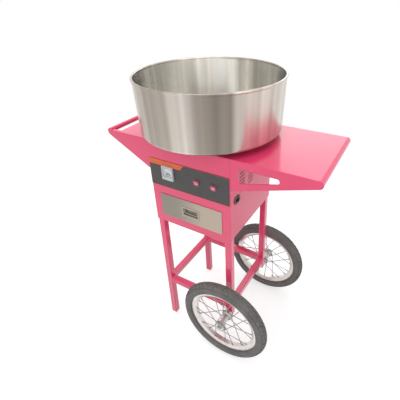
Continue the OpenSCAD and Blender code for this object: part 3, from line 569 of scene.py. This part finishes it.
tyreSet = {"middle": 0.155, "section": 0.023, "treadFloor": 0.0206, "wallSkin": 0.0225, "inside": 0.0185,
           "edge": 123.4, "steps": 78, "shoulder": 54, "shoulderSpan": 4,
           "insideTurn": 105, "insideSteps": 15,
           "seat": 0.1423, "beadLow": 0.134, "beadRise": 0.0022, "beadIn": 0.008, "beadOut": 0.0114,
           "turns": 144, "sharp": 40, "ribs": [(61, 3.2, 0.0011), (97, 2.0, 0.0004), (117, 3.0, 0.0005)],
           "blocks": 50, "blockSteps": (3, 2), "sink": 0.0008, "taper": 0.09,
           "rows": [(-53, -24, 0.0, 0.60), (-19, -2.5, 0.5, 0.74),
                    (2.5, 19, 0.0, 0.74), (24, 53, 0.5, 0.60)]}


def wheelPlace(side):
    low, high = (Vector(p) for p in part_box("rear_tyre"))
    x, y, z = (low + high) / 2
    turned = Matrix.Rotation(0 if side > 0 else math.pi, 4, "Z") @ Matrix.Rotation(-math.pi / 2, 4, "X")
    return Matrix.Translation((x, side * y, z)) @ turned


def tyreProfile():
    s = tyreSet
    rim = s["section"] * math.sin(math.radians(s["edge"]))
    points = [(s["seat"], -rim)]
    for k in range(1, s["steps"]):
        turn = -s["edge"] + 2 * s["edge"] * k / s["steps"]
        share = min(1.0, max(0.0, (abs(turn) - s["shoulder"]) / s["shoulderSpan"]))
        reach = s["treadFloor"] + (s["wallSkin"] - s["treadFloor"]) * share
        for at, width, height in s["ribs"]:
            reach += height * max(0.0, 1 - ((abs(turn) - at) / width) ** 2)
        a = math.radians(turn)
        points.append((s["middle"] + reach * math.cos(a), reach * math.sin(a)))
    bead = [(s["seat"], s["beadOut"]), (s["beadLow"], s["beadOut"]), (s["beadLow"], s["beadIn"]),
            (s["seat"] + s["beadRise"], s["beadIn"])]
    points += [(s["seat"], rim)] + bead
    points += arcPoints((s["middle"], 0.0), s["inside"], s["insideTurn"], -s["insideTurn"], s["insideSteps"])
    points += [(r, -z) for r, z in reversed(bead)]
    return points


def treadBlock(bm, place, low, high, turn, width):
    s = tyreSet
    across, around = s["blockSteps"]
    top, floor = [], []
    for i in range(across + 1):
        top.append([])
        floor.append([])
        for j in range(around + 1):
            u, v = i / across - 0.5, j / around - 0.5
            for rows, shrink, reach in ((top, 1 - s["taper"], s["section"]),
                                        (floor, 1.0, s["treadFloor"] - s["sink"])):
                a = math.radians((low + high) / 2 + u * shrink * (high - low))
                t = turn + v * shrink * width
                r = s["middle"] + reach * math.cos(a)
                spot = Vector((r * math.cos(t), r * math.sin(t), reach * math.sin(a)))
                rows[i].append(bm.verts.new(place @ spot))
    for rows in (top, floor):
        for i in range(across):
            for j in range(around):
                bm.faces.new((rows[i][j], rows[i + 1][j], rows[i + 1][j + 1], rows[i][j + 1]))
    rim = [(i, 0) for i in range(across)] + [(across, j) for j in range(around)]
    rim += [(i, around) for i in range(across, 0, -1)] + [(0, j) for j in range(around, 0, -1)]
    bridge(bm, [top[i][j] for i, j in rim], [floor[i][j] for i, j in rim])


def makeTyre(name, side, body, node):
    s = tyreSet
    place = wheelPlace(side)
    bm = bmesh.new()
    lathe(bm, tyreProfile(), s["turns"], place)
    pitch = 2 * math.pi / s["blocks"]
    for low, high, shift, fill in s["rows"]:
        for k in range(s["blocks"]):
            treadBlock(bm, place, low, high, (k + shift) * pitch, fill * pitch)
    makePiece(name, bm, tyre, body, [node], s["sharp"])


makeTyre("frontTyreTread", -1, "front_wheel", "front_tyre")
makeTyre("rearTyreTread", 1, "rear_wheel", "rear_tyre")
print("tyres made")

# plain orange strip along the top of the control panel, and thin lines along the panel's edges

stripSet = {"left": -0.2078, "rightTop": -0.062, "rightLow": -0.078, "top": 0.7963, "low": 0.7764,
            "face": -0.1605, "thick": 0.0004, "line": 0.0013}


def makeStrip():
    s = stripSet
    front = s["face"] - s["thick"]
    outline = [(s["left"], s["low"]), (s["rightLow"], s["low"]),
               (s["rightTop"], s["top"]), (s["left"], s["top"])]
    bm = bmesh.new()
    plateFrom(bm, outline, front, s["face"])
    makePiece("orangeStrip", bm, stripFilm, "cart")
    low, high = (Vector(p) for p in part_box("control_panel"))
    bm = bmesh.new()
    for left, floor in ((s["rightTop"], high.z - s["line"]), (low.x, low.z)):
        softBox(bm, (left, front, floor), (high.x, s["face"], floor + s["line"]))
    makePiece("panelLines", bm, lineFilm, "cart")


makeStrip()

# pale bar across each rocker, on the lower half of its tilted face: a painted highlight on a thin raised bar

barSet = {"half": 0.006, "low": -0.0042, "high": -0.0014, "face": -0.0048, "lean": 0.163, "proud": 0.0005,
          "sink": 0.0006, "soft": 0.0004, "tilt": 10}


def makeRockerHighlight(name, joint):
    s = barSet
    hinge = next(j for j in frame["joints"] if j["name"] == joint)
    bm = bmesh.new()
    softBox(bm, (-s["half"], s["face"] - s["proud"], s["low"]), (s["half"], s["face"] + s["sink"], s["high"]),
            s["soft"])
    place = Matrix.Translation(hinge["pos_m"]) @ Matrix.Rotation(math.radians(s["tilt"]), 4, "X")
    for v in bm.verts:
        v.co.y += s["lean"] * (v.co.z - (s["low"] + s["high"]) / 2)
        v.co = place @ v.co
    makePiece(name, bm, rockerHighlight, hinge["child"])


makeRockerHighlight("powerRockerHighlight", "power_rock")
makeRockerHighlight("heatRockerHighlight", "heat_rock")

# tongues pressed inwards behind the vent slots of the right side

louvreSet = {"wall": 0.1103, "starts": (-0.097, -0.035), "long": 0.036, "first": 0.778, "pitch": 0.013,
             "count": 6, "reach": 0.002, "rise": 0.0052, "thick": 0.0008, "steps": 5}


def makeLouvres():
    s = louvreSet
    shares = [k / s["steps"] for k in range(s["steps"] + 1)]
    bm = bmesh.new()
    for start in s["starts"]:
        for k in range(s["count"]):
            top = s["first"] - s["pitch"] * k
            curve = [(s["wall"] - s["reach"] * t, top + s["rise"] * t * t) for t in shares]
            under = [(x, z - s["thick"]) for x, z in reversed(curve)]
            plateFrom(bm, curve + under, start, start + s["long"])
    makePiece("ventLouvres", bm, pinkSide, "cart")


makeLouvres()
print("strip, rocker bars and louvres made")

# meter's face: card, scale with its ticks, and the cover over the needle's pivot

meterSet = {"behindWindow": 0.0055, "pivotUp": 0.003, "rim": 0.0005, "cardThick": 0.0003, "inkThick": 0.0001,
            "scale": (0.0262, 0.0268), "scaleSteps": 36, "spread": 45, "ticks": 21, "longEach": 5,
            "tick": {"long": 0.0035, "half": 0.45}, "longTick": {"long": 0.0055, "half": 0.75},
            "cover": (0.0056, 0.0105), "coverSpread": 80, "coverSteps": 24, "coverThick": 0.0006}


def ringPlate(bm, centre, inner, outer, start, end, steps, front, back):
    outline = [(centre[0] + r * math.sin(math.radians(a)), centre[1] + r * math.cos(math.radians(a)))
               for r, turns in ((outer, range(steps + 1)), (inner, range(steps, -1, -1)))
               for a in [start + (end - start) * k / steps for k in turns]]
    rings = [[bm.verts.new((x, y, z)) for x, z in outline] for y in (front, back)]
    bridge(bm, rings[0], rings[1])
    count = len(outline)
    for ring in rings:
        for k in range(steps):
            bm.faces.new((ring[k], ring[k + 1], ring[count - 2 - k], ring[count - 1 - k]))


def makeMeterFace():
    s = meterSet
    low, high = (Vector(p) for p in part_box("meter_window"))
    face = low.y + s["behindWindow"]
    front = face - s["cardThick"]
    ink = front - s["inkThick"]
    pivot = ((low.x + high.x) / 2, low.z + s["pivotUp"])
    bm = bmesh.new()
    softBox(bm, (low.x + s["rim"], front, low.z + s["rim"]), (high.x - s["rim"], face, high.z - s["rim"]))
    makePiece("meterCard", bm, dialCard, "cart")
    bm = bmesh.new()
    ringPlate(bm, pivot, *s["scale"], -s["spread"], s["spread"], s["scaleSteps"], ink, front)
    foot = s["scale"][1]
    for k in range(s["ticks"]):
        a = -s["spread"] + 2 * s["spread"] * k / (s["ticks"] - 1)
        tick = s["tick"] if k % s["longEach"] else s["longTick"]
        ringPlate(bm, pivot, foot, foot + tick["long"], a - tick["half"], a + tick["half"], 1, ink, front)
    makePiece("meterScale", bm, blackPlastic, "cart")
    bm = bmesh.new()
    ringPlate(bm, pivot, *s["cover"], -s["coverSpread"], s["coverSpread"], s["coverSteps"],
              front - s["coverThick"], front)
    makePiece("pivotCover", bm, blackPlastic, "cart")


makeMeterFace()
print("meter face made")

# camera

cameraSet = {"place": (0.54052, -0.91163, 1.31632), "turn": 30.247, "tilt": 29.078, "roll": -1.132,
             "lens": 30.046, "sensor": 36, "shift": (-0.0675, -0.08), "clip": (0.02, 100)}


def makeCamera():
    s = cameraSet
    turn, tilt, roll = (math.radians(s[k]) for k in ("turn", "tilt", "roll"))
    back = Vector((math.sin(turn) * math.cos(tilt), -math.cos(turn) * math.cos(tilt), math.sin(tilt)))
    right = Vector((math.cos(turn), math.sin(turn), 0))
    up = back.cross(right)
    across = right * math.cos(roll) + up * math.sin(roll)
    upright = up * math.cos(roll) - right * math.sin(roll)
    data = bpy.data.cameras.new("photoCamera")
    data.sensor_width = s["sensor"]
    data.lens = s["lens"]
    data.shift_x, data.shift_y = s["shift"]
    data.clip_start, data.clip_end = s["clip"]
    camera = bpy.data.objects.new("photoCamera", data)
    bpy.context.scene.collection.objects.link(camera)
    aim = Matrix((across, upright, back)).transposed().to_4x4()
    camera.matrix_world = Matrix.Translation(s["place"]) @ aim
    bpy.context.scene.camera = camera


makeCamera()

# floor, world and lamps

studioSet = {"floorRadius": 14.0, "floorTurns": 96, "floorColour": (0.55, 0.55, 0.55, 1), "floorLift": 0.58,
             "fadeFrom": 0.9, "fadeTo": 2.4, "skyColour": (1, 1, 1, 1), "ambient": 0.68}
# mirrored: whether the lamp shows in reflections (the key lamp would glare on the worktop from behind)
lampSet = {
    "keyLamp": {"place": (0.3, -2.2, 2.0), "aim": (0, 0, 0.6), "size": 2.0, "power": 20, "mirrored": False},
    "topLamp": {"place": (0.3, -0.2, 2.9), "aim": (0, 0, 0.6), "size": 1.8, "power": 18, "mirrored": True},
    "sideLamp": {"place": (2.3, -0.9, 1.7), "aim": (0, 0, 0.5), "size": 1.8, "power": 8, "mirrored": True},
    "leftLamp": {"place": (-2.1, 1.5, 1.8), "aim": (-0.3, 0, 0.86), "size": 1.4, "power": 1.2,
                 "mirrored": True},
    "wingLamp": {"place": (-1.1, 0.0, 2.4), "aim": (-0.3, 0, 0.86), "size": 0.8, "power": 9,
                 "mirrored": False},
    "backLamp": {"place": (-0.65, 2.65, 2.2), "aim": (0.2, 0, 0.86), "size": 2.2, "power": 12,
                 "mirrored": True},
}


def seenRays(tree):
    # 1 for rays that show the background: from the camera, in a reflection or through clear plastic
    rays = addNode(tree, "LightPath").outputs
    first = solve(tree, "Math", "MAXIMUM", rays["Is Camera Ray"], rays["Is Glossy Ray"])
    return solve(tree, "Math", "MAXIMUM", first, rays["Is Transmission Ray"])


def floorFinish():
    # matte and shaded near the cart, plain white further out
    s = studioSet
    mat = bpy.data.materials.new("studioFloor")
    mat.use_nodes = True
    tree = mat.node_tree
    tree.nodes.remove(tree.nodes["Principled BSDF"])
    seen = seenRays(tree)
    matte = addNode(tree, "BsdfDiffuse", Color=s["floorColour"])
    lift = addNode(tree, "Emission")
    tree.links.new(solve(tree, "Math", "MULTIPLY", seen, s["floorLift"]), lift.inputs["Strength"])
    near = addNode(tree, "AddShader")
    tree.links.new(matte.outputs[0], near.inputs[0])
    tree.links.new(lift.outputs[0], near.inputs[1])
    far = addNode(tree, "Emission")
    tree.links.new(rescale(tree, seen, s["ambient"], 1.0), far.inputs["Strength"])
    reach = solve(tree, "VectorMath", "LENGTH", addNode(tree, "TexCoord").outputs["Object"])
    fade = rescale(tree, reach, 0.0, 1.0, s["fadeFrom"], s["fadeTo"], "SMOOTHSTEP")
    mix = addNode(tree, "MixShader")
    tree.links.new(fade, mix.inputs["Fac"])
    tree.links.new(near.outputs[0], mix.inputs[1])
    tree.links.new(far.outputs[0], mix.inputs[2])
    tree.links.new(mix.outputs[0], tree.nodes["Material Output"].inputs["Surface"])
    return mat


def makeFloor():
    s = studioSet
    bm = bmesh.new()
    bmesh.ops.create_circle(bm, cap_ends=True, segments=s["floorTurns"], radius=s["floorRadius"])
    mesh = bpy.data.meshes.new("studioFloor")
    bm.to_mesh(mesh)
    bm.free()
    floor = bpy.data.objects.new("studioFloor", mesh)
    bpy.context.scene.collection.objects.link(floor)
    mesh.materials.append(floorFinish())


def makeWorld():
    s = studioSet
    world = bpy.data.worlds.new("studioWorld")
    world.use_nodes = True
    sky = world.node_tree
    backdrop = sky.nodes["Background"]
    sky.links.new(rescale(sky, seenRays(sky), s["ambient"], 1.0), backdrop.inputs["Strength"])
    backdrop.inputs["Color"].default_value = s["skyColour"]
    bpy.context.scene.world = world


def makeLamps():
    for name, lamp in lampSet.items():
        data = bpy.data.lights.new(name, "AREA")
        data.shape = "DISK"
        data.size = lamp["size"]
        data.energy = lamp["power"]
        obj = bpy.data.objects.new(name, data)
        bpy.context.scene.collection.objects.link(obj)
        obj.location = lamp["place"]
        obj.visible_camera = False
        obj.visible_glossy = lamp["mirrored"]
        obj.rotation_mode = "QUATERNION"
        obj.rotation_quaternion = (Vector(lamp["aim"]) - Vector(lamp["place"])).to_track_quat("-Z", "Y")


makeFloor()
makeWorld()
makeLamps()
bpy.context.scene.view_settings.view_transform = "Standard"
print("camera and studio made")
